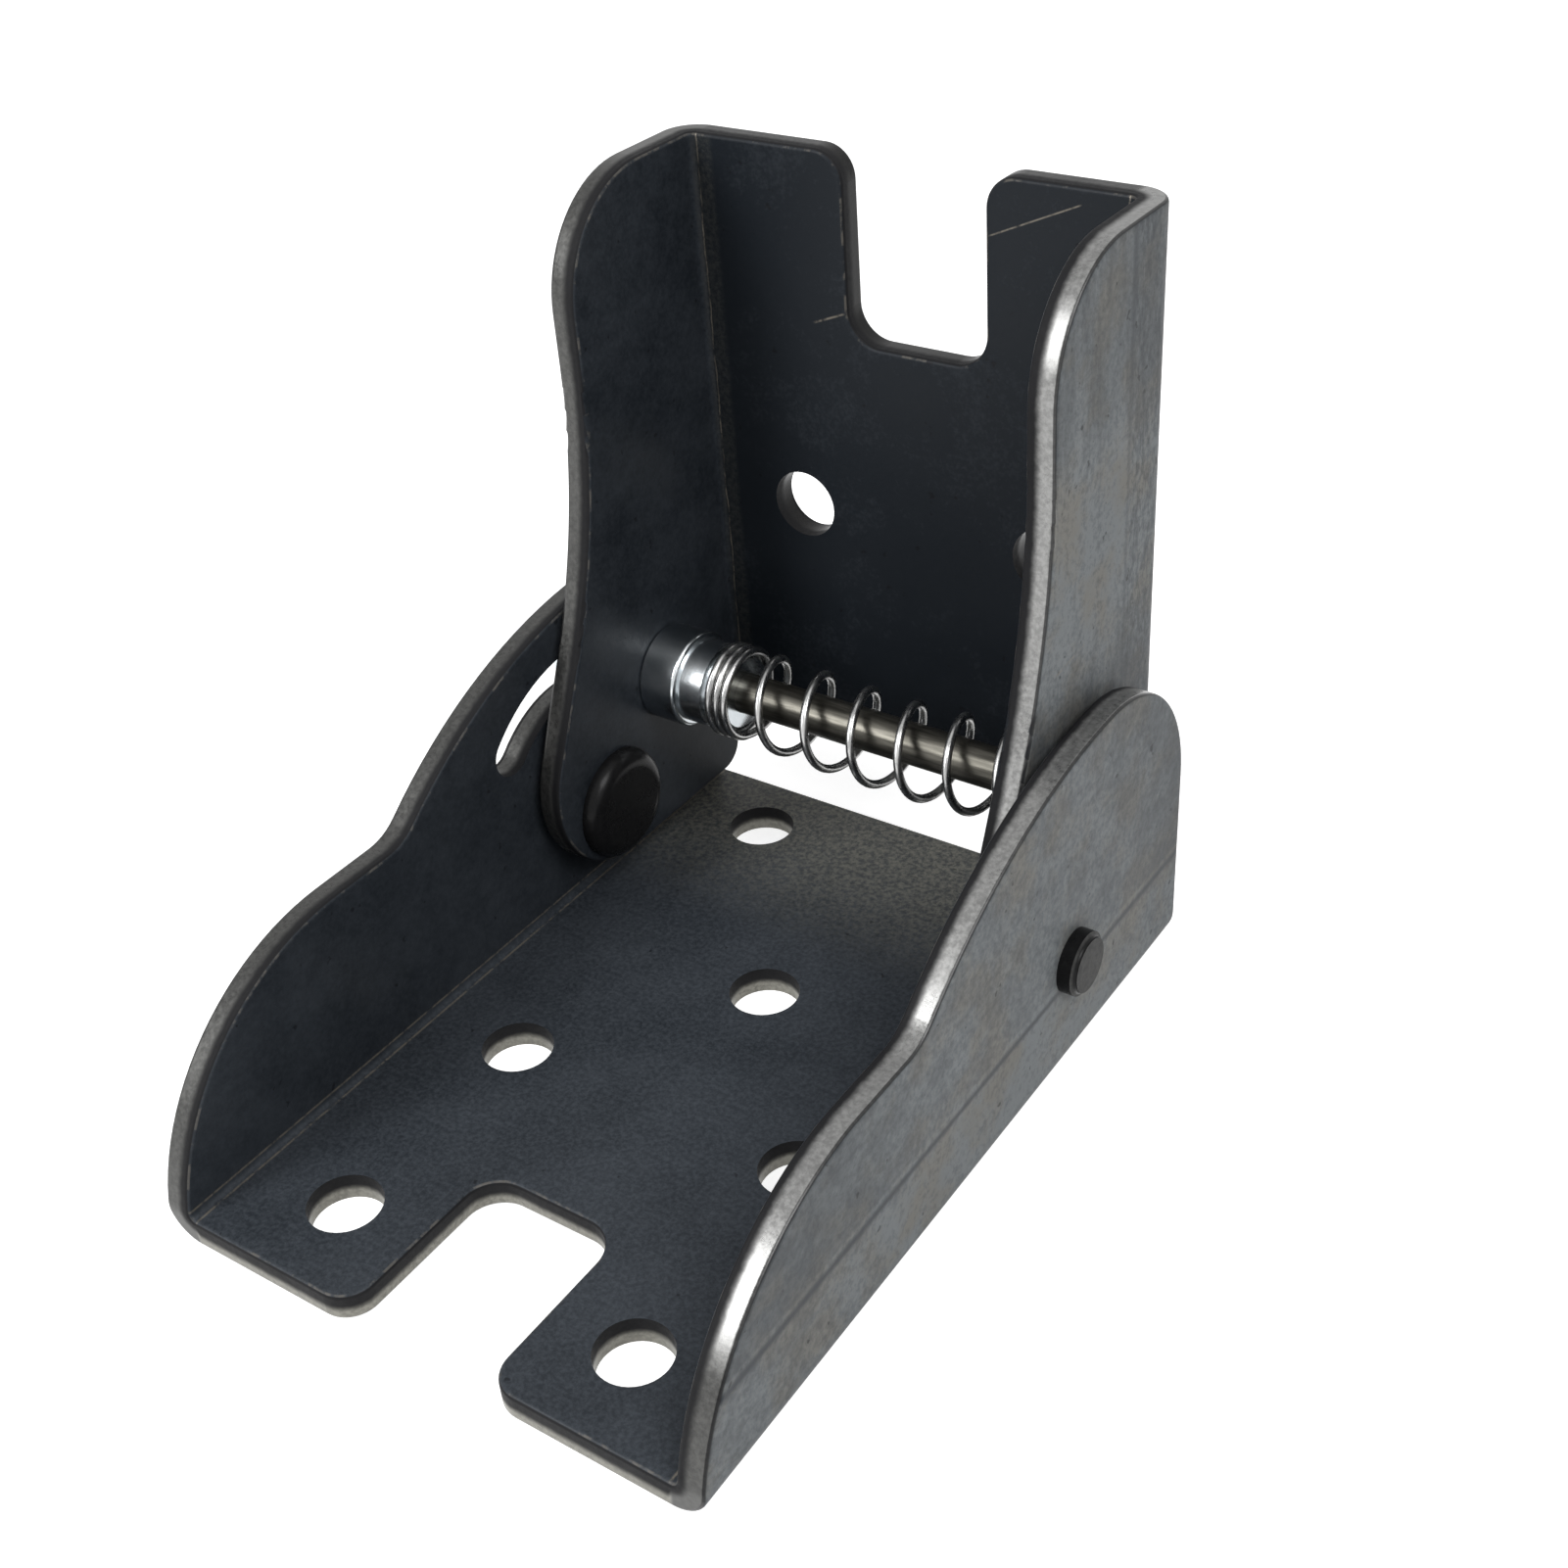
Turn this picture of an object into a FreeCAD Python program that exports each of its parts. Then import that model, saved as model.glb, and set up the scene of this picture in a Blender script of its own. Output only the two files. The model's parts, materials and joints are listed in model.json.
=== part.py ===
import FreeCAD, Part
import math
import os
import Sketcher
from types import SimpleNamespace

# Folding table leg bracket: a base channel that screws to the table, a leg channel that
# folds flat into it on two pivot rivets, and a spring-loaded push pin that holds it upright.
# Millimetres, +Z up, +Y from the front towards the leg. The origin is on the underside of
# the base, at the centre of its four corner screw holes.

# Driving dimensions, in millimetres and degrees
DIMENSIONS = {
    # Sheet steel shared by both channels
    "sheet": 2.0,
    "bend_radius": 0.5,
    "screw_hole": 5.0,
    "notch_width": 10.6,
    "notch_depth": 13.0,
    "notch_corner": 2.4,
    "tab_corner": 2.2,
    "edge_soften": 0.3,
    # Base channel
    "base_length": 58.3,
    "base_inside": 38.3,
    "crown_height": 25.4,
    "crown_radius": 36.5,
    "rear_radius": 10.8,
    "shoulder_height": 16.4,
    "nose_radius": 17.4,
    "nose_blend": 4.0,
    "throat_radius": 4.0,
    "front_margin": 6.2,
    "corner_hole_span": 46.8,
    "corner_hole_pitch": 23.1,
    "middle_row_setback": 17.0,
    "centre_hole_setback": 30.3,
    # Pivot and fold
    "pivot_setback": 42.1,
    "pivot_height": 9.5,
    "fold_angle": 90.0,
    "rivet_shank": 4.0,
    "rivet_head": 8.4,
    "rivet_head_flat": 6.0,
    "rivet_head_height": 1.3,
    "rivet_tail": 4.5,
    "rivet_tail_length": 1.3,
    "rivet_tail_round": 0.35,
    # Leg channel, measured from the pivot
    "leg_side_gap": 0.7,
    "leg_rise": 44.9,
    "leg_drop": 5.2,
    "leg_back": 17.9,
    "leg_front": 2.05,
    "leg_corner": 8.2,
    "waist_rise": 22.4,
    "waist_radius": 50.0,
    "toe_reach": 10.4,
    "toe_radius": 7.7,
    "heel_radius": 2.0,
    "leg_web_rise": 0.5,
    "relief_radius": 0.4,
    "leg_hole_rise": 18.9,
    "leg_hole_pitch": 19.5,
    "leg_punch_offset": 0.8,
    # Push pin
    "pin_radius_from_pivot": 10.5,
    "pin_angle": 44.0,
    "pin_travel": 2.0,
    "rod_diameter": 3.0,
    "slot_width": 3.4,
    "nose_diameter": 6.0,
    "collar_diameter": 7.2,
    "collar_length": 3.0,
    "spring_seat_diameter": 6.3,
    "spring_seat_length": 2.0,
    "pilot_diameter": 5.2,
    "pilot_length": 2.0,
    "button_diameter": 6.4,
    "button_height": 2.0,
    "button_dome": 0.4,
    "button_socket": 1.2,
    "edge_round": 0.3,
    # Spring
    "spring_outside": 7.0,
    "spring_wire": 0.62,
    "spring_open_turns": 6.0,
    "spring_left_turns": 3.0,
    "spring_right_turns": 3.0,
    "spring_phase": 257.0,
    # Clearances
    "pivot_clearance": 0.05,
    "seat_clearance": 0.1,
    "guide_clearance": 0.15,
    "fixed_clearance": 0.02,
    "coil_clearance": 0.05,
}
SHEET_NAME = "Sizes"
AXES = {"X": FreeCAD.Vector(1, 0, 0), "Y": FreeCAD.Vector(0, 1, 0), "Z": FreeCAD.Vector(0, 0, 1)}
TINY = 1e-4
POINTS_PER_TURN = 12


class Size:
    """A number together with the expression that ties it to the sheet."""

    def __init__(self, text, number):
        self.text = text
        self.number = number

    def __add__(self, other):
        other = as_size(other)
        return Size(f"({self.text} + {other.text})", self.number + other.number)

    def __radd__(self, other):
        return as_size(other) + self

    def __sub__(self, other):
        other = as_size(other)
        return Size(f"({self.text} - {other.text})", self.number - other.number)

    def __rsub__(self, other):
        return as_size(other) - self

    def __mul__(self, other):
        other = as_size(other)
        return Size(f"({self.text} * {other.text})", self.number * other.number)

    def __rmul__(self, other):
        return as_size(other) * self

    def __truediv__(self, other):
        other = as_size(other)
        return Size(f"({self.text} / {other.text})", self.number / other.number)

    def __neg__(self):
        return Size(f"(0 - {self.text})", -self.number)


def as_size(value):
    """Wrap a plain number, so that it can stand in an expression."""
    return value if isinstance(value, Size) else Size(f"{float(value)}", float(value))


def root(size):
    return Size(f"sqrt({size.text})", math.sqrt(size.number))


def arc_run(radius, fall):
    """How far along an arc's top lies from the place where it has fallen by a height."""
    return root(radius * radius - (radius - fall) * (radius - fall))


def cosine(angle):
    return Size(f"cos({angle.text})", math.cos(math.radians(angle.number)))


def sine(angle):
    return Size(f"sin({angle.text})", math.sin(math.radians(angle.number)))


def make_sheet(document):
    """Write the driving dimensions to the spreadsheet and return them as sizes."""
    sheet = document.addObject("Spreadsheet::Sheet", SHEET_NAME)
    for row, (alias, number) in enumerate(DIMENSIONS.items(), start=1):
        sheet.set(f"A{row}", alias)
        sheet.set(f"B{row}", str(number))
        sheet.setAlias(f"B{row}", alias)
    document.recompute()
    names = {alias: Size(f"{SHEET_NAME}.{alias}", float(sheet.get(alias))) for alias in DIMENSIONS}
    return SimpleNamespace(**names)


def origin_feature(body, role):
    """The origin plane or axis of a body."""
    return next(item for item in body.Origin.OriginFeatures if item.Role == role)


def new_sketch(body, name, plane, offset=None):
    """A sketch on one of the body's own origin planes, moved along its normal."""
    sketch = body.newObject("Sketcher::SketchObject", name)
    sketch.AttachmentSupport = [(origin_feature(body, plane), "")]
    sketch.MapMode = "FlatFace"
    if offset is not None:
        sketch.setExpression("AttachmentOffset.Base.z", offset.text)
    return sketch


def constrain(sketch, size, *what):
    """Add one dimension to a sketch and bind it to the sheet."""
    size = as_size(size)
    index = sketch.addConstraint(Sketcher.Constraint(*what, size.number))
    sketch.setExpression(f"Constraints[{index}]", size.text)


def place_point(sketch, edge, point, across, up):
    constrain(sketch, across, "DistanceX", edge, point)
    constrain(sketch, up, "DistanceY", edge, point)


def arc_between(start, end, radius, leftward):
    """The short arc from start to end, bending to the left or to the right."""
    chord = end - start
    left = FreeCAD.Vector(-chord.y, chord.x, 0).normalize()
    height = math.sqrt(max(radius ** 2 - (chord.Length / 2) ** 2, 0))
    centre = (start + end) * 0.5 + left * (height if leftward else -height)
    first, last = (start, end) if leftward else (end, start)
    low = math.atan2(first.y - centre.y, first.x - centre.x)
    high = math.atan2(last.y - centre.y, last.x - centre.x)
    if high <= low:
        high += 2 * math.pi
    return Part.ArcOfCircle(Part.Circle(centre, FreeCAD.Vector(0, 0, 1), radius), low, high)


def draw_outline(sketch, corners):
    """A closed outline through corners (across, up) or (across, up, radius).

    A radius bends the edge that leaves its corner: to the left if it is given as
    ("left", radius), or to the right if it is given as ("right", radius).
    """
    count = len(corners)
    ends = []
    for index, corner in enumerate(corners):
        following = corners[(index + 1) % count]
        start = FreeCAD.Vector(as_size(corner[0]).number, as_size(corner[1]).number, 0)
        end = FreeCAD.Vector(as_size(following[0]).number, as_size(following[1]).number, 0)
        if len(corner) == 2:
            edge = sketch.addGeometry(Part.LineSegment(start, end), False)
            ends.append((edge, 1, 2))
            continue
        side, radius = corner[2]
        leftward = side == "left"
        edge = sketch.addGeometry(arc_between(start, end, radius.number, leftward), False)
        ends.append((edge, 1, 2) if leftward else (edge, 2, 1))
    for index, (edge, first, last) in enumerate(ends):
        following = ends[(index + 1) % count]
        sketch.addConstraint(Sketcher.Constraint("Coincident", edge, last, following[0], following[1]))
    for corner, (edge, first, last) in zip(corners, ends):
        place_point(sketch, edge, first, corner[0], corner[1])
        if len(corner) == 3:
            constrain(sketch, corner[2][1], "Radius", edge)


def draw_circle(sketch, across, up, diameter):
    across, up, diameter = as_size(across), as_size(up), as_size(diameter)
    centre = FreeCAD.Vector(across.number, up.number, 0)
    circle = Part.Circle(centre, FreeCAD.Vector(0, 0, 1), diameter.number / 2)
    edge = sketch.addGeometry(circle, False)
    place_point(sketch, edge, 3, across, up)
    constrain(sketch, diameter, "Diameter", edge)


def new_body(document, label):
    body = document.addObject("PartDesign::Body", label)
    body.Label = label
    return body


def pad(body, sketch, length, backwards=False):
    feature = body.newObject("PartDesign::Pad", sketch.Name + "_pad")
    feature.Profile = sketch
    feature.Reversed = backwards
    feature.setExpression("Length", length.text)
    body.Document.recompute()


def cut(body, sketch, length=None, backwards=False):
    """Pocket a sketch to a length, or right through both ways where none is given."""
    before = body.Shape.Volume
    feature = body.newObject("PartDesign::Pocket", sketch.Name + "_cut")
    feature.Profile = sketch
    feature.Reversed = backwards
    if length is None:
        feature.Type = "ThroughAll"
        feature.SideType = "Symmetric"
    else:
        feature.Type = "Length"
        feature.setExpression("Length", length.text)
    body.Document.recompute()
    if body.Shape.Volume >= before:
        raise RuntimeError(f"{feature.Name} removes nothing")


def edges_through(shape, direction, places):
    """Names of the straight edges along a direction that pass through any of the places."""
    found = []
    for number, edge in enumerate(shape.Edges, start=1):
        if edge.Curve.TypeId != "Part::GeomLine":
            continue
        if abs(abs(edge.Curve.Direction * direction) - 1) > TINY:
            continue
        for place in places:
            if edge.distToShape(Part.Vertex(place))[0] < TINY:
                found.append(f"Edge{number}")
                break
    return found


def round_edges(body, name, direction, places, radius):
    """Fillet the edges along a direction that pass through the places."""
    points = [FreeCAD.Vector(*(as_size(value).number for value in place)) for place in places]
    base = body.Tip
    names = edges_through(base.Shape, AXES[direction], points)
    if not names:
        raise RuntimeError(f"{name} finds no edge")
    feature = body.newObject("PartDesign::Fillet", name)
    feature.Base = (base, names)
    feature.setExpression("Radius", radius.text)
    body.Tip = feature
    body.Document.recompute()


def is_rolled(face, fold, levels):
    """Whether a face is skin of the rolled sheet: a bend about the fold, or a plane at a level."""
    surface = face.Surface
    if surface.TypeId == "Part::GeomCylinder":
        return abs(abs(surface.Axis * AXES[fold]) - 1) < TINY
    if surface.TypeId != "Part::GeomPlane":
        return False
    for axis, level in levels:
        level = as_size(level).number
        squarely = abs(abs(surface.Axis * AXES[axis]) - 1) < TINY
        if squarely and abs(surface.Position * AXES[axis] - level) < TINY:
            return True
    return False


def soften_edges(body, name, fold, levels, radius):
    """Round the edges where the skin of the sheet meets a sheared face."""
    base = body.Tip
    names = []
    for number, edge in enumerate(base.Shape.Edges, start=1):
        faces = base.Shape.ancestorsOfType(edge, Part.Face)
        if sum(is_rolled(face, fold, levels) for face in faces) == 1:
            names.append(f"Edge{number}")
    feature = body.newObject("PartDesign::Fillet", name)
    feature.Base = (base, names)
    feature.setExpression("Radius", radius.text)
    body.Tip = feature
    body.Document.recompute()


def turned(document, label, profile, place, flipped=False):
    """A piece turned about the X axis from a profile of corners (along, radius)."""
    body = new_body(document, label)
    sketch = new_sketch(body, label + "_profile", "XY_Plane")
    draw_outline(sketch, profile)
    feature = body.newObject("PartDesign::Revolution", label + "_turned")
    feature.Profile = sketch
    feature.ReferenceAxis = (origin_feature(body, "X_Axis"), [""])
    feature.Angle = 360
    set_place(body, place, FreeCAD.Rotation(AXES["Z"], 180 if flipped else 0))
    document.recompute()
    return body


def set_place(item, place, rotation):
    item.Placement = FreeCAD.Placement(FreeCAD.Vector(0, 0, 0), rotation)
    for axis, size in zip("xyz", place):
        item.setExpression(f"Placement.Base.{axis}", as_size(size).text)


def layout(d):
    """Places that more than one piece uses, worked out from the driving dimensions."""
    at = SimpleNamespace()
    at.outer_bend = d.bend_radius + d.sheet
    at.base_inner = d.base_inside / 2
    at.base_outer = at.base_inner + d.sheet
    at.front = -(d.front_margin + d.corner_hole_span / 2)
    at.rear = at.front + d.base_length
    at.pivot_y = at.front + d.pivot_setback
    at.leg_outer = at.base_inner - d.leg_side_gap
    at.leg_inner = at.leg_outer - d.sheet
    at.leg_top = d.pivot_height + d.leg_rise
    at.leg_low = d.pivot_height - d.leg_drop
    at.leg_back = at.pivot_y + d.leg_back
    at.leg_front = at.pivot_y + d.leg_front
    at.web_low = d.pivot_height + d.leg_web_rise
    at.pin_y = at.pivot_y + d.pin_radius_from_pivot * cosine(d.pin_angle)
    at.pin_z = d.pivot_height + d.pin_radius_from_pivot * sine(d.pin_angle)
    at.pivot_bore = d.rivet_shank + 2 * d.pivot_clearance
    at.collar_face = -at.leg_inner + d.seat_clearance
    at.seat_step = at.collar_face + d.collar_length
    at.spring_seat = at.seat_step + d.spring_seat_length
    at.button_face = -at.base_outer - d.pin_travel - 2 * d.seat_clearance
    at.rod_end = at.base_inner - d.pin_travel - d.seat_clearance
    return at


def make_base_channel(document, d, at):
    """The folded base: a flat web with its screw holes between two shaped flanges."""
    body = new_body(document, "base_channel")
    section = new_sketch(body, "base_section", "XZ_Plane", -at.front)
    outer = ("left", at.outer_bend)
    inner = ("right", d.bend_radius)
    draw_outline(section, [
        (-at.base_outer + at.outer_bend, 0),
        (at.base_outer - at.outer_bend, 0, outer),
        (at.base_outer, at.outer_bend),
        (at.base_outer, d.crown_height),
        (at.base_inner, d.crown_height),
        (at.base_inner, d.sheet + d.bend_radius, inner),
        (at.base_inner - d.bend_radius, d.sheet),
        (-at.base_inner + d.bend_radius, d.sheet, inner),
        (-at.base_inner, d.sheet + d.bend_radius),
        (-at.base_inner, d.crown_height),
        (-at.base_outer, d.crown_height),
        (-at.base_outer, at.outer_bend, outer),
    ])
    pad(body, section, d.base_length, backwards=True)

    # Flange outline: a round nose, a level shoulder, a long crown and a round rear corner
    margin = d.sheet
    nose_rise = d.shoulder_height - d.sheet
    lean = (d.nose_radius - nose_rise) / (d.nose_radius - d.nose_blend)
    upright = root(1 - lean * lean)
    nose_y = at.front + d.nose_blend * (1 - upright)
    crown_y = at.rear - d.rear_radius
    throat_y = crown_y - arc_run(d.crown_radius, d.crown_height - d.shoulder_height)
    flange = new_sketch(body, "base_flange", "YZ_Plane")
    draw_outline(flange, [
        (at.front, d.sheet, ("right", d.nose_blend)),
        (nose_y, d.sheet + d.nose_blend * lean, ("right", d.nose_radius)),
        (nose_y + d.nose_radius * upright, d.shoulder_height),
        (throat_y, d.shoulder_height, ("right", d.crown_radius)),
        (crown_y, d.crown_height, ("right", d.rear_radius)),
        (at.rear, d.crown_height - d.rear_radius),
        (at.rear + margin, d.crown_height - d.rear_radius),
        (at.rear + margin, d.crown_height + margin),
        (at.front - margin, d.crown_height + margin),
        (at.front - margin, d.sheet),
    ])
    cut(body, flange)
    sides = (-at.base_outer, at.base_outer)
    throats = [(side, throat_y, d.shoulder_height) for side in sides]
    round_edges(body, "base_throat", "X", throats, d.throat_radius)

    # Notch between the two front tabs
    notch = new_sketch(body, "base_notch", "XY_Plane")
    half = d.notch_width / 2
    notch_end = at.front + d.notch_depth
    draw_outline(notch, [
        (-half, at.front - margin),
        (half, at.front - margin),
        (half, notch_end),
        (-half, notch_end),
    ])
    cut(body, notch, d.sheet, backwards=True)
    round_edges(body, "base_notch_end", "Z", [(-half, notch_end, 0), (half, notch_end, 0)], d.notch_corner)
    round_edges(body, "base_tabs", "Z", [(-half, at.front, 0), (half, at.front, 0)], d.tab_corner)

    levels = [("X", side) for side in (-at.base_outer, -at.base_inner, at.base_inner, at.base_outer)]
    soften_edges(body, "base_edges", "Y", levels + [("Z", 0), ("Z", d.sheet)], d.edge_soften)

    # Screw holes in the web
    holes = new_sketch(body, "base_holes", "XY_Plane")
    front_row = at.front + d.front_margin
    rows = (front_row, front_row + d.middle_row_setback, front_row + d.corner_hole_span)
    for row in rows:
        for side in (-1, 1):
            draw_circle(holes, side * d.corner_hole_pitch / 2, row, d.screw_hole)
    draw_circle(holes, 0, front_row + d.centre_hole_setback, d.screw_hole)
    cut(body, holes, d.sheet, backwards=True)

    # Pivot holes through both flanges
    pivot = new_sketch(body, "base_pivot", "YZ_Plane")
    draw_circle(pivot, at.pivot_y, d.pivot_height, at.pivot_bore)
    cut(body, pivot)

    # The left flange has the arc slot for the push pin, with a round lock hole at its upright end
    outer_radius = d.pin_radius_from_pivot + d.slot_width / 2
    inner_radius = d.pin_radius_from_pivot - d.slot_width / 2
    folded = d.pin_angle + d.fold_angle

    def around_pivot(radius, angle):
        return at.pivot_y + radius * cosine(angle), d.pivot_height + radius * sine(angle)

    end_y, end_z = around_pivot(d.pin_radius_from_pivot, folded)
    tip = (end_y - d.slot_width / 2 * sine(folded), end_z + d.slot_width / 2 * cosine(folded))
    cap = ("left", d.slot_width / 2)
    slot = new_sketch(body, "base_slot", "YZ_Plane", -at.base_inner)
    draw_outline(slot, [
        (*around_pivot(outer_radius, d.pin_angle), ("left", outer_radius)),
        (*around_pivot(outer_radius, folded), cap),
        (*tip, cap),
        (*around_pivot(inner_radius, folded), ("right", inner_radius)),
        around_pivot(inner_radius, d.pin_angle),
    ])
    cut(body, slot, d.sheet)
    lock_hole = new_sketch(body, "base_lock_hole", "YZ_Plane", -at.base_inner)
    draw_circle(lock_hole, at.pin_y, at.pin_z, d.nose_diameter + 2 * d.guide_clearance)
    cut(body, lock_hole, d.sheet)
    return body


def make_leg_channel(document, d, at):
    """The folded leg plate: a tall web with two flanges that reach down round the pivots."""
    body = new_body(document, "leg_channel")
    margin = d.sheet
    toe_y = at.pivot_y - d.toe_reach
    section = new_sketch(body, "leg_section", "XY_Plane", at.leg_low)
    outer = ("left", at.outer_bend)
    inner = ("right", d.bend_radius)
    flange_end = toe_y - margin
    web_face = at.leg_back - d.sheet
    draw_outline(section, [
        (-at.leg_outer, flange_end),
        (-at.leg_inner, flange_end),
        (-at.leg_inner, web_face - d.bend_radius, inner),
        (-at.leg_inner + d.bend_radius, web_face),
        (at.leg_inner - d.bend_radius, web_face, inner),
        (at.leg_inner, web_face - d.bend_radius),
        (at.leg_inner, flange_end),
        (at.leg_outer, flange_end),
        (at.leg_outer, at.leg_back - at.outer_bend, outer),
        (at.leg_outer - at.outer_bend, at.leg_back),
        (-at.leg_outer + at.outer_bend, at.leg_back, outer),
        (-at.leg_outer, at.leg_back - at.outer_bend),
    ])
    pad(body, section, at.leg_top - at.leg_low)

    # Front outline: straight at the top, sloping forward from the waist to the toe
    waist_z = d.pivot_height + d.waist_rise
    front = new_sketch(body, "leg_flange", "YZ_Plane")
    draw_outline(front, [
        (flange_end - margin, at.leg_low - margin),
        (toe_y, at.leg_low - margin),
        (toe_y, at.leg_low),
        (at.leg_front, waist_z),
        (at.leg_front, at.leg_top + margin),
        (flange_end - margin, at.leg_top + margin),
    ])
    cut(body, front)

    # Below its lower edge the web is cut away as far as the flat of the flanges
    flat_end = at.leg_back - at.outer_bend
    relief = new_sketch(body, "leg_relief", "YZ_Plane")
    draw_outline(relief, [
        (flat_end, at.leg_low - margin),
        (at.leg_back + margin, at.leg_low - margin),
        (at.leg_back + margin, at.web_low),
        (flat_end, at.web_low),
    ])
    cut(body, relief)
    sides = (-at.leg_outer, at.leg_outer)
    rounds = (
        ("leg_top_corner", at.leg_front, at.leg_top, d.leg_corner),
        ("leg_waist", at.leg_front, waist_z, d.waist_radius),
        ("leg_toe", toe_y, at.leg_low, d.toe_radius),
        ("leg_heel", flat_end, at.leg_low, d.heel_radius),
        ("leg_relief_corner", flat_end, at.web_low, d.relief_radius),
    )
    for name, along, up, radius in rounds:
        round_edges(body, name, "X", [(side, along, up) for side in sides], radius)

    # Top notch in the web, punched a little off centre together with the screw holes
    left = d.leg_punch_offset - d.notch_width / 2
    right = d.leg_punch_offset + d.notch_width / 2
    notch_end = at.leg_top - d.notch_depth
    notch = new_sketch(body, "leg_notch", "XZ_Plane", -at.leg_back)
    draw_outline(notch, [
        (left, notch_end),
        (right, notch_end),
        (right, at.leg_top + margin),
        (left, at.leg_top + margin),
    ])
    cut(body, notch, d.sheet, backwards=True)
    ends = [(left, at.leg_back, notch_end), (right, at.leg_back, notch_end)]
    round_edges(body, "leg_notch_end", "Y", ends, d.notch_corner)
    tabs = [(left, at.leg_back, at.leg_top), (right, at.leg_back, at.leg_top)]
    round_edges(body, "leg_tabs", "Y", tabs, d.tab_corner)
    levels = [("X", side) for side in (-at.leg_outer, -at.leg_inner, at.leg_inner, at.leg_outer)]
    soften_edges(body, "leg_edges", "Z", levels + [("Y", web_face), ("Y", at.leg_back)], d.edge_soften)

    # Screw holes in the web
    holes = new_sketch(body, "leg_holes", "XZ_Plane", -at.leg_back)
    for side in (-1, 1):
        across = d.leg_punch_offset + side * d.leg_hole_pitch / 2
        draw_circle(holes, across, d.pivot_height + d.leg_hole_rise, d.screw_hole)
    cut(body, holes, d.sheet, backwards=True)

    # Pivot holes, the push pin's guide hole on the left and the rod's on the right
    pivot = new_sketch(body, "leg_pivot", "YZ_Plane")
    draw_circle(pivot, at.pivot_y, d.pivot_height, at.pivot_bore)
    cut(body, pivot)
    nose_hole = new_sketch(body, "leg_nose_hole", "YZ_Plane", -at.leg_inner)
    draw_circle(nose_hole, at.pin_y, at.pin_z, d.nose_diameter + 2 * d.guide_clearance)
    cut(body, nose_hole, d.sheet)
    rod_hole = new_sketch(body, "leg_rod_hole", "YZ_Plane", at.leg_inner)
    draw_circle(rod_hole, at.pin_y, at.pin_z, d.rod_diameter + 2 * d.guide_clearance)
    cut(body, rod_hole, d.sheet, backwards=True)
    return body


def make_rivet(document, d, at, label, side):
    """A pivot rivet: its head is inside the leg, its peened tail outside the base."""
    head_low = -d.seat_clearance
    head_top = head_low - d.rivet_head_height
    tail_start = 2 * d.sheet + d.leg_side_gap
    tail_end = tail_start + d.rivet_tail_length
    taper = (d.rivet_head - d.rivet_head_flat) / 2
    crown = d.rivet_head_height / 2 + taper * taper / (2 * d.rivet_head_height)
    shank = d.rivet_shank / 2
    tail = d.rivet_tail / 2
    profile = [
        (tail_end, 0),
        (tail_end, tail - d.rivet_tail_round, ("right", d.rivet_tail_round)),
        (tail_end - d.rivet_tail_round, tail),
        (tail_start, tail),
        (tail_start, shank),
        (head_low, shank),
        (head_low, d.rivet_head / 2, ("left", crown)),
        (head_top, d.rivet_head_flat / 2),
        (head_top, 0),
    ]
    place = (side * at.leg_inner, at.pivot_y, d.pivot_height)
    return turned(document, label, profile, place, flipped=side < 0)


def make_rod(document, d, at):
    """The push pin's rod, from its seat in the button to the right flange of the leg."""
    start = at.button_face - d.button_socket
    radius = d.rod_diameter / 2
    profile = [
        (start, 0),
        (at.rod_end, 0),
        (at.rod_end, radius - d.edge_round, ("left", d.edge_round)),
        (at.rod_end - d.edge_round, radius),
        (start, radius),
    ]
    return turned(document, "lock_rod", profile, (0, at.pin_y, at.pin_z))


def make_sleeve(document, d, at):
    """The turned sleeve on the rod: nose, collar, spring seat and the pilot in the coils."""
    nose_end = -at.base_inner + d.seat_clearance
    pilot_end = at.spring_seat + d.pilot_length
    bore = d.rod_diameter / 2 + d.fixed_clearance
    nose = d.nose_diameter / 2
    collar = d.collar_diameter / 2
    seat = d.spring_seat_diameter / 2
    pilot = d.pilot_diameter / 2
    round_off = ("left", d.edge_round)
    profile = [
        (nose_end, bore),
        (pilot_end, bore),
        (pilot_end, pilot),
        (at.spring_seat, pilot),
        (at.spring_seat, seat),
        (at.seat_step, seat),
        (at.seat_step, collar - d.edge_round, round_off),
        (at.seat_step - d.edge_round, collar),
        (at.collar_face, collar),
        (at.collar_face, nose),
        (nose_end + d.edge_round, nose, round_off),
        (nose_end, nose - d.edge_round),
    ]
    return turned(document, "lock_sleeve", profile, (0, at.pin_y, at.pin_z))


def make_button(document, d, at):
    """The push button outside the base: a domed head with a blind socket for the rod."""
    outer_end = at.button_face - d.button_height
    radius = d.button_diameter / 2
    bore = d.rod_diameter / 2 + d.fixed_clearance
    socket_end = at.button_face - d.button_socket
    dome = d.button_dome / 2 + radius * radius / (2 * d.button_dome)
    rim_end = outer_end + d.button_dome
    profile = [
        (socket_end, 0),
        (socket_end, bore),
        (at.button_face, bore),
        (at.button_face, radius - d.edge_round, ("left", d.edge_round)),
        (at.button_face - d.edge_round, radius),
        (rim_end, radius, ("left", dome)),
        (outer_end, 0),
    ]
    return turned(document, "push_button", profile, (0, at.pin_y, at.pin_z))


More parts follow.
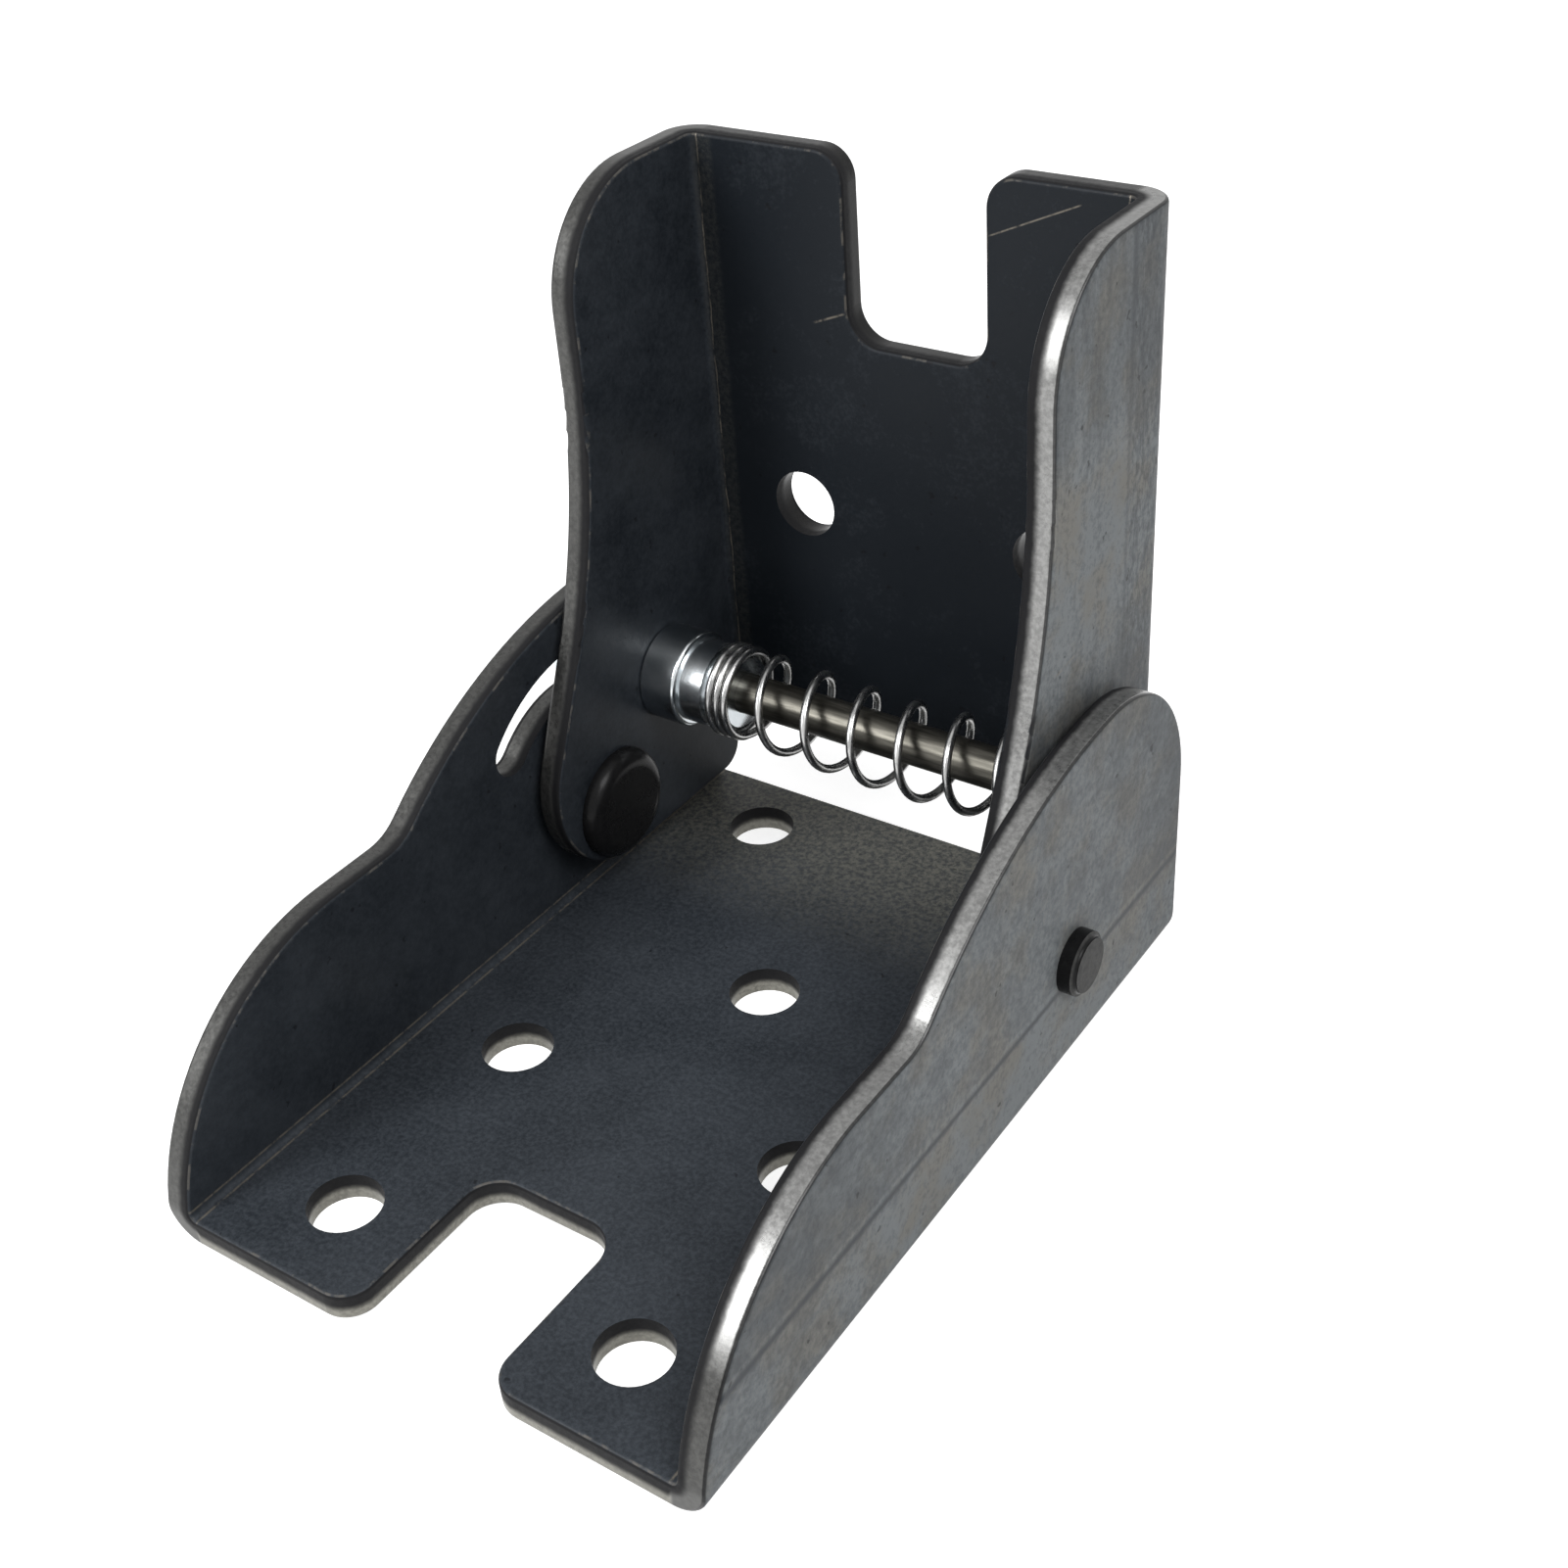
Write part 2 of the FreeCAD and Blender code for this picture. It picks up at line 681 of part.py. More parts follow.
def make_spring(document, d, at):
    """The compression spring: one wire, wound close at both ends and open between them."""
    wire = d.spring_wire / 2
    mean = (d.spring_outside / 2 - wire).number
    close_pitch = d.spring_wire + d.coil_clearance
    first = at.spring_seat + wire + d.coil_clearance
    last = at.leg_inner - wire - d.coil_clearance
    left_length = close_pitch * d.spring_left_turns
    right_length = close_pitch * d.spring_right_turns
    open_length = last - first - left_length - right_length
    stretches = (
        (left_length.number, d.spring_left_turns.number),
        (open_length.number, d.spring_open_turns.number),
        (right_length.number, d.spring_right_turns.number),
    )
    points = []
    along = first.number
    angle = math.radians(d.spring_phase.number)
    for length, turns in stretches:
        steps = round(turns * POINTS_PER_TURN)
        for step in range(steps):
            turned_by = angle + 2 * math.pi * turns * step / steps
            points.append(coil_point(along + length * step / steps, mean, turned_by))
        along += length
        angle += 2 * math.pi * turns
    points.append(coil_point(along, mean, angle))
    curve = Part.BSplineCurve()
    curve.interpolate(points)
    heading = curve.tangent(curve.FirstParameter)[0]
    section = Part.Wire([Part.makeCircle(wire.number, points[0], heading)])
    sweep = Part.BRepOffsetAPI.MakePipeShell(Part.Wire([curve.toShape()]))
    sweep.setBiNormalMode(AXES["X"])
    sweep.add(section)
    sweep.build()
    sweep.makeSolid()
    spring = document.addObject("Part::Feature", "lock_spring")
    spring.Label = "lock_spring"
    spring.Shape = sweep.shape()
    set_place(spring, (0, at.pin_y, at.pin_z), FreeCAD.Rotation())
    document.recompute()
    return spring


def coil_point(along, radius, angle):
    return FreeCAD.Vector(along, radius * math.cos(angle), radius * math.sin(angle))


def check(document, pieces):
    """Stop if any feature failed or any piece is not one valid solid."""
    for item in document.Objects:
        if "Invalid" in item.State or "Error" in item.State:
            raise RuntimeError(f"{item.Name} failed: {item.State}")
    for piece in pieces:
        shape = piece.Shape
        if shape.isNull() or not shape.isValid() or len(shape.Solids) != 1:
            raise RuntimeError(f"{piece.Label} is not one valid solid")


document = FreeCAD.newDocument("leg_bracket")
d = make_sheet(document)
at = layout(d)
pieces = [
    make_base_channel(document, d, at),
    make_leg_channel(document, d, at),
    make_rivet(document, d, at, "pivot_rivet_left", -1),
    make_rivet(document, d, at, "pivot_rivet_right", 1),
    make_rod(document, d, at),
    make_sleeve(document, d, at),
    make_button(document, d, at),
    make_spring(document, d, at),
]
document.recompute()
check(document, pieces)
os.makedirs("parts", exist_ok=True)
for piece in pieces:
    piece.Shape.exportStep(f"parts/{piece.Label}.step")
    box = piece.Shape.BoundBox
    print(piece.Label, round(piece.Shape.Volume, 2), [round(value, 2) for value in
          (box.XMin, box.XMax, box.YMin, box.YMax, box.ZMin, box.ZMax)])
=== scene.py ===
import json
import math

import bmesh
import bpy
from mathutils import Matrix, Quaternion, Vector


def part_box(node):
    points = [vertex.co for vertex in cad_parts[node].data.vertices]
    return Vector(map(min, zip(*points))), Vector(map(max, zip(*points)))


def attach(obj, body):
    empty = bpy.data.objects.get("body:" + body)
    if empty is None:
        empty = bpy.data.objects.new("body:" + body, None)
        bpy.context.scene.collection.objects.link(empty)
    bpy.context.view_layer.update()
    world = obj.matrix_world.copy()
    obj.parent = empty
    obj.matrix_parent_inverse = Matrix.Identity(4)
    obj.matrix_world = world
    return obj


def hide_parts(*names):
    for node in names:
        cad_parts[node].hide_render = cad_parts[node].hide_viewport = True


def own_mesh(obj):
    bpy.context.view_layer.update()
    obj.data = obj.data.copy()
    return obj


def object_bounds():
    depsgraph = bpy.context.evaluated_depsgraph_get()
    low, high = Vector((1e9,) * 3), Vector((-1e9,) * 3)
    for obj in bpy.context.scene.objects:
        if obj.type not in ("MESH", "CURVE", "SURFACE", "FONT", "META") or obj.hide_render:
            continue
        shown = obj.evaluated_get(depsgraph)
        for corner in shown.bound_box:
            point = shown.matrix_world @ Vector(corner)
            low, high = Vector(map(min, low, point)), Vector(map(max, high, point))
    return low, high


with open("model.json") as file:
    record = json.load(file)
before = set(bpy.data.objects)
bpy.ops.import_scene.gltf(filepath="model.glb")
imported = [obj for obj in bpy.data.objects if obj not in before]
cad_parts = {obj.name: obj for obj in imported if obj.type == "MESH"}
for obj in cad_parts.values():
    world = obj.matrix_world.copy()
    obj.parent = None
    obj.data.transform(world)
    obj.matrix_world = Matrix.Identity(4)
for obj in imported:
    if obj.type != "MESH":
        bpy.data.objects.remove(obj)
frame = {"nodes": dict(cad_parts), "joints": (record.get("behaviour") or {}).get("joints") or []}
cad_low, cad_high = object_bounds()

# Base channel
# The fixed half of the bracket, blanked and punched from hot-rolled sheet and folded up into two
# flanges. Dark oiled scale covers it, rubbed grey outside by the folding die, and the grey is
# lightened further as a painted reflection of the floor. Each sheared edge is rolled over and dark
# towards the inside of the fold, partly as painted shade, and torn and paler towards the outside,
# painted lit on the right flange and dulled by painted shade on the left one.
MM = 0.001
SHEET = 2.0
BEND_RADIUS = 0.5
SCALE_DARK = (0.0095, 0.0120, 0.0155, 1)
SCALE_PALE = (0.050, 0.057, 0.067, 1)
SCALE_BROWN = (0.160, 0.158, 0.136, 1)
# The rubbed grey outside is lightened further as a painted reflection of the floor
RUBBED_GREY_AND_SHEEN = (0.160, 0.172, 0.178, 1)
RUBBED_WARM_AND_SHEEN = (0.158, 0.155, 0.143, 1)
# The rolled-over half of a cut edge is dark partly as painted shade
ROLLED_OVER_AND_SHADE = (0.009, 0.009, 0.010, 1)
# The torn half of a cut edge is painted lit on the right flanges and dulled by painted shade on
# the left ones
TORN_PAINTED_SHADE = (0.088, 0.088, 0.085, 1)
TORN_PAINTED_LIT = (0.27, 0.27, 0.265, 1)
TORN_PALE = (0.21, 0.205, 0.18, 1)
WORN_METAL = (0.20, 0.18, 0.15, 1)
PIT_BLACK = (0.005, 0.005, 0.006, 1)
SCALE_GLOSS = 0.12
# The rim beside the outer skin is darkened by this share as painted shade
OUTER_RIM_SHADE = 0.8
base_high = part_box("base_channel")[1]
BASE_FLAT = base_high.x / MM - SHEET - BEND_RADIUS


class Socket:
    """A shader socket: arithmetic on it adds Math nodes, and node() adds any other node."""

    def __init__(self, tree, output=None):
        self.tree = tree
        self.output = output

    def node(self, kind, settings, inputs, output=0):
        """Add a node: its settings first, then the values or links of its inputs."""
        made = self.tree.nodes.new("ShaderNode" + kind)
        for name, value in settings.items():
            setattr(made, name, value)
        for key, value in inputs.items():
            if isinstance(value, Socket):
                self.tree.links.new(value.output, made.inputs[key])
            else:
                made.inputs[key].default_value = value
        return Socket(self.tree, made.outputs[output])

    def math(self, operation, *values):
        return self.node("Math", {"operation": operation}, dict(enumerate(values)))

    def __add__(self, other):
        return self.math("ADD", self, other)

    def __radd__(self, other):
        return self.math("ADD", other, self)

    def __sub__(self, other):
        return self.math("SUBTRACT", self, other)

    def __rsub__(self, other):
        return self.math("SUBTRACT", other, self)

    def __mul__(self, other):
        return self.math("MULTIPLY", self, other)

    def __rmul__(self, other):
        return self.math("MULTIPLY", other, self)

    def __truediv__(self, other):
        return self.math("DIVIDE", self, other)

    def __abs__(self):
        return self.math("ABSOLUTE", self)

    def root(self):
        return self.math("SQRT", self)

    def sign(self):
        return self.math("SIGN", self)

    def larger(self, other):
        return self.math("MAXIMUM", self, other)

    def ramp(self, low, high):
        """Rises smoothly from 0 at low to 1 at high."""
        settings = {"interpolation_type": "SMOOTHSTEP"}
        return self.node("MapRange", settings, {"Value": self, "From Min": low, "From Max": high})

    def line(self, place, half_width):
        """1 on a line where the value equals place, fading out over the half width."""
        return 1 - abs(self - place).ramp(0, half_width)

    def band(self, low, high, soft):
        """1 from low to high, fading out over a soft margin beyond them."""
        return self.ramp(low - soft, low) * (1 - self.ramp(high, high + soft))

    def parts(self):
        """The three components of a vector."""
        split = self.node("SeparateXYZ", {}, {0: self})
        outputs = split.output.node.outputs
        return tuple(Socket(self.tree, output) for output in outputs)

    def stretched(self, x, y, z):
        """The vector with its components scaled, to draw a texture out along one of them."""
        return self.node("VectorMath", {"operation": "MULTIPLY"}, {0: self, 1: (x, y, z)})

    def noise(self, scale, detail=3.0, roughness=0.55):
        """Even noise from about 0.2 to 0.8 at places in millimetres."""
        inputs = {"Vector": self, "Scale": scale, "Detail": detail, "Roughness": roughness}
        return self.node("TexNoise", {}, inputs)

    def mix(self, first, second):
        """Colours mixed with this value as the share of the second."""
        return self.node("Mix", {"data_type": "RGBA"}, {0: self, 6: first, 7: second}, 2)


def new_material(name):
    """A material with its shader, the place on the piece in millimetres and its own normal."""
    material = bpy.data.materials.new(name)
    material.use_nodes = True
    tree = material.node_tree
    shader = tree.nodes["Principled BSDF"]
    coordinates = Socket(tree).node("TexCoord", {}, {}, "Object")
    normal = Socket(tree, coordinates.output.node.outputs["Normal"])
    place = coordinates.stretched(1 / MM, 1 / MM, 1 / MM)
    return material, shader, place, normal


def feed(shader, **values):
    """Set or link the shader's inputs, named as they are with _ for a space."""
    for name, value in values.items():
        socket = shader.inputs[name.replace("_", " ")]
        if isinstance(value, Socket):
            value.tree.links.new(value.output, socket)
        else:
            socket.default_value = value


def through_sheet(side, fall, side_normal, fall_normal):
    """Where a point lies in folded sheet: its depth, and how far its face leans off the skin.

    side and fall are measured outwards from the centre of the bend, and the normals with them.
    The depth is 0 on the inner skin and 1 on the outer one.
    """
    out = side.larger(0)
    down = fall.larger(0)
    reach = (out * out + down * down).root()
    depth = (reach - BEND_RADIUS) * (1 / SHEET)
    lean = 1 - abs(out * side_normal + down * fall_normal) / reach
    return depth, lean


def rolled_steel(
    shader, place, depth, lean, tear_start, torn, outer_rim_shade, pale, grit, rubbed_and_painted_light, worn, brown
):
    """Dark scale on the skin, and sheared edges that are dark inside and torn outside.

    tear_start is the depth where the torn metal starts, and torn its colour, which carries painted
    light and shade; outer_rim_shade is how dark its rim is beside the outer skin, a painted shade.
    pale is added to the share of paler scale and carries painted light and shade, and grit is how
    strongly its grain shows. rubbed, worn and brown are masks of the skin: where the die has
    scuffed it grey, with a painted reflection and painted shade in it, where it is worn to the
    metal, and where it has a brown bloom.
    """
    # Grain of a third of a millimetre, flecks and pits of about one, and clouds of several
    grain = place.noise(3.0, 3.0, 0.65).ramp(0.3, 0.75)
    cloud = place.noise(0.13, 4.0, 0.6).ramp(0.32, 0.68)
    fleck = place.noise(0.8, 3.0, 0.6).ramp(0.3, 0.8)
    pits = place.noise(1.0, 2.0).ramp(0.70, 0.75)
    scale = 0.22 * cloud + 0.12 * fleck + grit * (grain - 0.5) + 0.33 + pale
    skin = scale.mix(SCALE_DARK, SCALE_PALE)
    # Over the scale come the brown bloom, the rubbed grey with its painted reflection and
    # painted shade, the pits and the bare metal
    bloom = place.noise(2.6, 4.0, 0.75).ramp(0.36, 0.66)
    skin = (brown * (0.15 + 0.85 * bloom)).mix(skin, SCALE_BROWN)
    tint = place.noise(0.22, 4.0, 0.6).ramp(0.42, 0.66).mix(RUBBED_GREY_AND_SHEEN, RUBBED_WARM_AND_SHEEN)
    scour = place.noise(1.9, 4.0, 0.75).ramp(0.32, 0.66)
    skin = (rubbed_and_painted_light * (0.68 + 0.55 * scour)).mix(skin, tint)
    skin = (pits * 0.6).mix(skin, PIT_BLACK)
    bare = worn * place.noise(1.1, 4.0, 0.7).ramp(0.32, 0.6)
    skin = (bare * 0.8).mix(skin, WORN_METAL)
    # A cut edge is torn from a ragged line in its depth, and its rolled-over half is dark, partly
    # as painted shade
    ragged = depth - tear_start + 0.12 * place.noise(1.3, 3.0) - 0.06
    tear = ragged.ramp(-0.16, 0.14)
    cut = (tear * (0.65 + 0.4 * grain)).mix(ROLLED_OVER_AND_SHADE, torn)
    edge = lean.ramp(0.2, 0.45)
    colour = edge.mix(skin, cut)
    # Its inner rim is worn bright in places, and its outer shoulder is darkened as painted shade
    rim = lean.band(0.08, 0.3, 0.06) * (1 - depth.ramp(0.3, 0.5))
    rim = rim * place.noise(0.6, 4.0, 0.65).ramp(0.5, 0.62)
    colour = (rim * 0.3).mix(colour, WORN_METAL)
    shoulder = depth.band(0.9, 0.96, 0.03)
    colour = (shoulder * outer_rim_shade).mix(colour, ROLLED_OVER_AND_SHADE)
    height = grain * 0.5 + fleck * 0.5 - pits
    bump = place.node("Bump", {}, {"Strength": 0.1, "Distance": 0.05 * MM, "Height": height})
    feed(
        shader,
        Base_Color=colour,
        Roughness=0.34 + 0.1 * grain + 0.08 * cloud + 0.2 * rubbed_and_painted_light + edge * (0.2 - 0.3 * tear),
        Metallic=0.8 * edge * tear + 0.5 * bare,
        Specular_IOR_Level=SCALE_GLOSS,
        Normal=bump,
    )


# Where on the channels a mask begins and ends, in depths of the sheet and in millimetres
INNER_SKIN = (0.03, 0.10)
OUTER_SKIN = (0.90, 0.97)
PAST_BEND = (0.2, 0.4)
ON_WEB = (0.2, 0.5)
ON_FLANGE = (-0.2, 0.2)
FLANGE_FADE = 0.4
CREASE_WIDTH = 0.14
DIE_LINE = 8.0
DIE_LINE_WIDTH = 0.42
BELOW_FADE = 0.7
PALE_LINE_ABOVE = 0.55
PALE_LINE_WIDTH = 0.4
# The bottom bend is kept dark as painted shade, and the middle of the length painted lighter than
# the front and rear
SHADED_BEND = (1.2, 2.8)
PAINTED_LIT_MIDDLE = (-4, 14, 18)
BLOOM_GROWS = (11, 27)
# Below this height the right flange's torn edges are dulled by painted shade
SHADE_BELOW = (8.5, 11.5)
WEB_TEAR = 0.56
TORN_SOONER = 0.2
base_steel, shader, place, normal = new_material("base_steel")
x, y, z = place.parts()
nx, _, nz = normal.parts()
side = abs(x) - BASE_FLAT
fall = SHEET + BEND_RADIUS - z
depth, lean = through_sheet(side, fall, nx * x.sign(), 0 - nz)
inner_skin = 1 - depth.ramp(*INNER_SKIN)
outer_skin = depth.ramp(*OUTER_SKIN)
# A pale line runs along each side of the inner bend
crease = side.line(0, CREASE_WIDTH) * fall.ramp(*PAST_BEND)
crease = crease.larger(fall.line(0, CREASE_WIDTH) * side.ramp(*PAST_BEND))
# The die leaves a dark line along the outside with a pale one above it, and rubs the skin below
# more, down to the bend, which is kept dark as painted shade. The outside is also painted lighter
# in the middle of its length, with painted shade towards the front and rear
streaks = place.stretched(1, 0.12, 0.9).noise(0.8, 4.0)
below = 1 - z.ramp(DIE_LINE - BELOW_FADE, DIE_LINE)
mottle = place.noise(0.28, 5.0, 0.65).ramp(0.35, 0.65)
rubbed_and_painted_light = 0.4 * streaks + 0.3 * mottle + 0.34 * y.band(*PAINTED_LIT_MIDDLE) + 0.32 * below
rubbed_and_painted_light = rubbed_and_painted_light + 0.3 * z.line(DIE_LINE + PALE_LINE_ABOVE, PALE_LINE_WIDTH)
rubbed_and_painted_light = outer_skin * rubbed_and_painted_light * (1 - 0.9 * z.line(DIE_LINE, DIE_LINE_WIDTH)) * z.ramp(*SHADED_BEND)
# Towards the rear the web has a brown bloom
brown = inner_skin * y.ramp(*BLOOM_GROWS) * fall.ramp(0.3, 0.5)
# The torn edges are painted lit on the right flange except low down, and dulled by painted shade
# there and on the left one. On the web they are pale
left_flange = 1 - x.ramp(-BASE_FLAT - FLANGE_FADE, -BASE_FLAT)
on_flange = side.ramp(*ON_FLANGE)
low_down = on_flange * (1 - z.ramp(*SHADE_BELOW))
torn = left_flange.larger(low_down).mix(TORN_PAINTED_LIT, TORN_PAINTED_SHADE)
torn = on_flange.mix(TORN_PALE, torn)
# The dark rim beside the outer skin is painted shade, left off the web
outer_rim_shade = OUTER_RIM_SHADE * on_flange
# Holes and notch tear later in their depth than the long edges of the flanges
tear_start = WEB_TEAR - TORN_SOONER * on_flange
worn = inner_skin * crease
web = fall.ramp(*ON_WEB)
# The scale is painted lighter on the up-facing web and darker on the flanges, as painted light
# from above
pale = 0.2 * web - 0.1
grit = 0.2 + 0.3 * web
rolled_steel(
    shader, place, depth, lean, tear_start, torn, outer_rim_shade, pale, grit, rubbed_and_painted_light, worn, brown
)
frame["nodes"]["base_channel"].material_slots[0].material = base_steel

# Leg channel
# The swinging half, folded from the same sheet. Its web screws to the table leg, and its two
# flanges reach down to the pivots inside the flanges of the base.
# The leg web's torn edges are painted black as shade
TORN_SHADE_BLACK = (0.022, 0.022, 0.022, 1)
LEG_TEAR = 0.42
LEG_GRIT = 0.2
LEG_CREASE_WIDTH = 0.09
DRAG_LINE = 24.2
DRAG_LINE_WIDTH = 0.45
# Halfway up, the leg's flanges are painted lighter, with painted shade above and below
PAINTED_LIT_HALFWAY = (32, 38, 8)
LONG_SCRATCH = ((6.6, 50.6), (12.5, 53.2), 0.09)
SHORT_SCRATCH = ((-7.0, 42.6), (-5.0, 43.4), 0.12)
FLANGE_SCRATCH = ((14.9, 29.0), (18.4, 29.3), 0.12)
SCRATCH_FADE = 0.4
leg_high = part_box("leg_channel")[1]
LEG_FLAT = leg_high.x / MM - SHEET - BEND_RADIUS
LEG_FOLD = leg_high.y / MM - SHEET - BEND_RADIUS


def scratch(across, up, start, end, half_width):
    """1 on a straight scratch between two places, fading out over the half width."""
    run = Vector(end) - Vector(start)
    way = run.normalized()
    right = across - start[0]
    above = up - start[1]
    along = right * way.x + above * way.y
    off = above * way.x - right * way.y
    return along.band(0, run.length, SCRATCH_FADE) * off.line(0, half_width)


leg_steel, shader, place, normal = new_material("leg_steel")
x, y, z = place.parts()
nx, ny, _ = normal.parts()
side = abs(x) - LEG_FLAT
fall = y - LEG_FOLD
depth, lean = through_sheet(side, fall, nx * x.sign(), ny)
inner_skin = 1 - depth.ramp(*INNER_SKIN)
outer_skin = depth.ramp(*OUTER_SKIN)
# Worn to the metal: a broken, wandering line along the inner bends, and a few scratches
wander = side + 0.4 * place.noise(0.35, 4.0, 0.7) - 0.2
crease = wander.line(0, LEG_CREASE_WIDTH) * fall.ramp(*PAST_BEND)
crease = crease * place.noise(0.25, 3.0).ramp(0.3, 0.6)
web_scratches = scratch(x, z, *LONG_SCRATCH).larger(scratch(x, z, *SHORT_SCRATCH))
flange_scratch = scratch(y, z, *FLANGE_SCRATCH) * x.ramp(0, 1)
worn = inner_skin * crease.larger(web_scratches * fall.ramp(*PAST_BEND))
worn = worn.larger(outer_skin * flange_scratch * 0.7)
# Beside the rear bend the die has dragged the skin into rough upright streaks. Halfway up, the
# flanges are painted lighter, with painted shade above and below, low down beside the base flange
streaks = place.stretched(1, 0.9, 0.12).noise(0.8, 4.0)
dragged = y.ramp(DRAG_LINE, DRAG_LINE + 0.5) * (1 - fall.ramp(1.2, 2.2))
rough_streaks = place.stretched(1, 1.6, 0.6).noise(1.6, 4.0, 0.7).ramp(0.35, 0.65)
flange = side.ramp(0.5, 1.5)
rubbed_and_painted_light = 0.05 + streaks + 0.25 * (1 - flange) + 0.45 * flange * z.band(*PAINTED_LIT_HALFWAY)
rubbed_and_painted_light = rubbed_and_painted_light * (1 - 0.45 * y.line(DRAG_LINE, DRAG_LINE_WIDTH))
rubbed_and_painted_light = outer_skin * rubbed_and_painted_light * (1 - 0.65 * dragged * (1 - rough_streaks))
# The torn edges are painted lit on the right flange, dulled by painted shade on the left one, and
# painted black as shade on the web
right_flange = x.ramp(LEG_FLAT, LEG_FLAT + FLANGE_FADE)
torn = side.ramp(*ON_FLANGE).mix(TORN_SHADE_BLACK, TORN_PAINTED_SHADE)
torn = right_flange.mix(torn, TORN_PAINTED_LIT)
brown = inner_skin * crease.larger(side.band(-0.9, 0, 0.5)) * (1 - x.ramp(-1, 0)) * 0.12
# The leg's scale is a little darker, and its front-facing web darker still as painted shade
pale = -0.2 - 0.3 * fall.ramp(*ON_WEB)
rolled_steel(
    shader, place, depth, lean, LEG_TEAR, torn, OUTER_RIM_SHADE, pale, LEG_GRIT, rubbed_and_painted_light, worn, brown
)
frame["nodes"]["leg_channel"].material_slots[0].material = leg_steel

# Pivot rivets
# Two separate blackened steel rivets that the leg turns on. Each is headed inside the leg and
# peened over outside the base, where its flat end is hammered grey.
RIVET_BLACK = (0.0045, 0.0045, 0.005, 1)
PEENED_GREY = (0.070, 0.070, 0.068, 1)
TAIL_START = base_high.x / MM
TAIL_FADE = 0.3


def blackened_steel(name):
    """Fine-grained black steel, grey and duller on the end of a peened tail."""
    material, shader, place, normal = new_material(name)
    grain = place.noise(2.4, 4.0, 0.65)
    cloud = place.noise(0.6, 2.0)
    x = place.parts()[0]
    nx = normal.parts()[0]
    peened = abs(x).ramp(TAIL_START, TAIL_START + TAIL_FADE) * abs(nx).ramp(0.6, 0.9)
    tone = (0.1 + 0.9 * peened) * (0.3 + 0.4 * grain.ramp(0.3, 0.7))
    bump = place.node("Bump", {}, {"Strength": 0.12, "Distance": 0.05 * MM, "Height": grain})
    feed(
        shader,
        Base_Color=tone.mix(RIVET_BLACK, PEENED_GREY),
        Roughness=0.22 + 0.12 * cloud + 0.3 * peened,
        Metallic=0.0,
        Specular_IOR_Level=SCALE_GLOSS,
        Normal=bump,
    )
    return material


rivet_steel = blackened_steel("rivet_steel")
for rivet in ("pivot_rivet_left", "pivot_rivet_right"):
    frame["nodes"][rivet].material_slots[0].material = rivet_steel

# Lock rod
# A length of drawn steel rod across the leg that carries the sleeve and the button. It has a faint
# olive oil film and lengthwise draw marks.
ROD_DARK = (0.045, 0.043, 0.036, 1)
ROD_PALE = (0.12, 0.114, 0.098, 1)


def drawn_steel(name):
    """Olive grey steel with marks drawn out along its length."""
    material, shader, place, _ = new_material(name)
    draw = place.stretched(0.15, 2.0, 2.0).noise(1.6, 3.0)
    cloud = place.noise(0.35, 3.0)
    feed(
        shader,
        Base_Color=draw.ramp(0.3, 0.75).mix(ROD_DARK, ROD_PALE),
        Roughness=0.24 + 0.14 * cloud,
        Metallic=0.85,
    )
    return material


frame["nodes"]["lock_rod"].material_slots[0].material = drawn_steel("rod_steel")

# Lock sleeve and push button
# Turned steel pieces with bright zinc plating: the sleeve on the rod, with its nose in the leg's
# left flange, and the button on the rod's outer end.
ZINC_DULL = (0.56, 0.60, 0.62, 1)
ZINC_BRIGHT = (0.70, 0.73, 0.75, 1)


def plated_steel(name):
    """Bright plating over fine turning rings."""
    material, shader, place, _ = new_material(name)
    rings = place.stretched(6.0, 0.2, 0.2).noise(1.5, 2.0)
    cloud = place.noise(0.5, 3.0)
    bump = place.node("Bump", {}, {"Strength": 0.03, "Distance": 0.01 * MM, "Height": rings})
    feed(
        shader,
        Base_Color=cloud.ramp(0.3, 0.7).mix(ZINC_DULL, ZINC_BRIGHT),
        Roughness=0.18 + 0.08 * rings,
        Metallic=1.0,
        Normal=bump,
    )
    return material


zinc = plated_steel("bright_zinc")
for plated in ("lock_sleeve", "push_button"):
    frame["nodes"][plated].material_slots[0].material = zinc

# Lock spring
# A compression spring of bright drawn wire between the sleeve and the right flange of the leg,
# wound close at both ends and open between them.
WIRE = 0.62
COIL_GAP = 0.05
SAG = 0.5
LEFT_TURNS = 3
OPEN_TURNS = 6
RIGHT_TURNS = 3
FIRST_ANGLE = math.radians(257)
STEPS_PER_TURN = 48
WIRE_SIDES = 16
WIRE_GREY = (0.32, 0.32, 0.32, 1)
WIRE_BRIGHT = (0.54, 0.54, 0.53, 1)
spring_low, spring_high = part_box("lock_spring")
spring_centre = (spring_low + spring_high) / 2
coil_radius = (spring_high.z - spring_low.z) / 2 - WIRE * MM / 2
close_pitch = (WIRE + COIL_GAP) * MM
first_x = spring_low.x + WIRE * MM / 2
last_x = spring_high.x - WIRE * MM / 2
open_pitch = (last_x - first_x - (LEFT_TURNS + RIGHT_TURNS) * close_pitch) / OPEN_TURNS


def coil_x(turns):
    """How far along the axis the wire is after so many turns."""
    on_left = min(turns, LEFT_TURNS)
    on_open = min(max(turns - LEFT_TURNS, 0), OPEN_TURNS)
    on_right = max(turns - LEFT_TURNS - OPEN_TURNS, 0)
    return first_x + (on_left + on_right) * close_pitch + on_open * open_pitch


